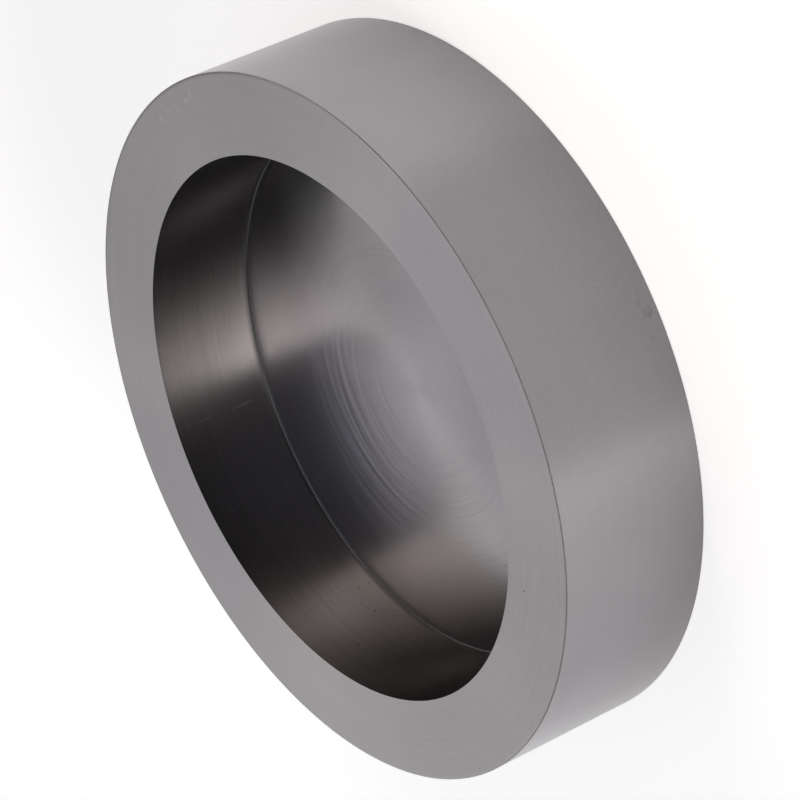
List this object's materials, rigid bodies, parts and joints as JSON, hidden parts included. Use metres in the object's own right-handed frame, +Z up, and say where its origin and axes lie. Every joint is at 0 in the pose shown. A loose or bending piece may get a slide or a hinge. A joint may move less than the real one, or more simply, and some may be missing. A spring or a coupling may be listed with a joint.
{
  "type": "graphite ingot mold",
  "caption": "Round dish turned from solid graphite, with a flat rim and a shallow flat-floored cavity with steep walls, in which metal is cast into a disc-shaped ingot.",
  "frame": {"origin": "centre of the flat base, on the plane that it stands on", "axes": "+Z up along the axis of the turning, out of the cavity; X and Y are free, because the piece is round"},
  "size_m": [0.07, 0.07, 0.016],
  "materials": {
    "graphite": "satin"
  },
  "bodies": {
    "root": {"mold_body": "graphite"}
  },
  "joints": []
}
